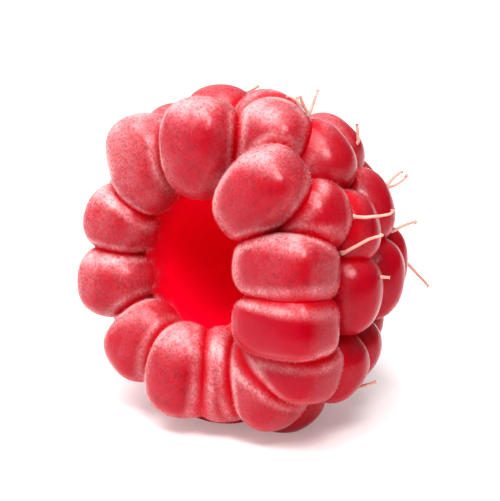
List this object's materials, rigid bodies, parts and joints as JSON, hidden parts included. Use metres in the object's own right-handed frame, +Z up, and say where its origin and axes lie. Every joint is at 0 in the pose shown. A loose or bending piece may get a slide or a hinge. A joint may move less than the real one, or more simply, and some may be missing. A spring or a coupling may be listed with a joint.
{
  "type": "raspberry",
  "caption": "Picked red raspberry lying on its side, with rings of rounded drupelets round an open hollow where the core was.",
  "frame": {"origin": "middle of the footprint, on the surface that the fruit lies on", "axes": "+Z up, -Y the way the open hollow faces, +Y towards the tip, +X to the right seen from the hollow's side"},
  "size_m": [0.0214, 0.0171, 0.0197],
  "materials": {
    "berry_flesh": "moist satin flesh under a fine pale down"
  },
  "bodies": {
    "root": {"raspberry": "berry_flesh"}
  },
  "joints": []
}
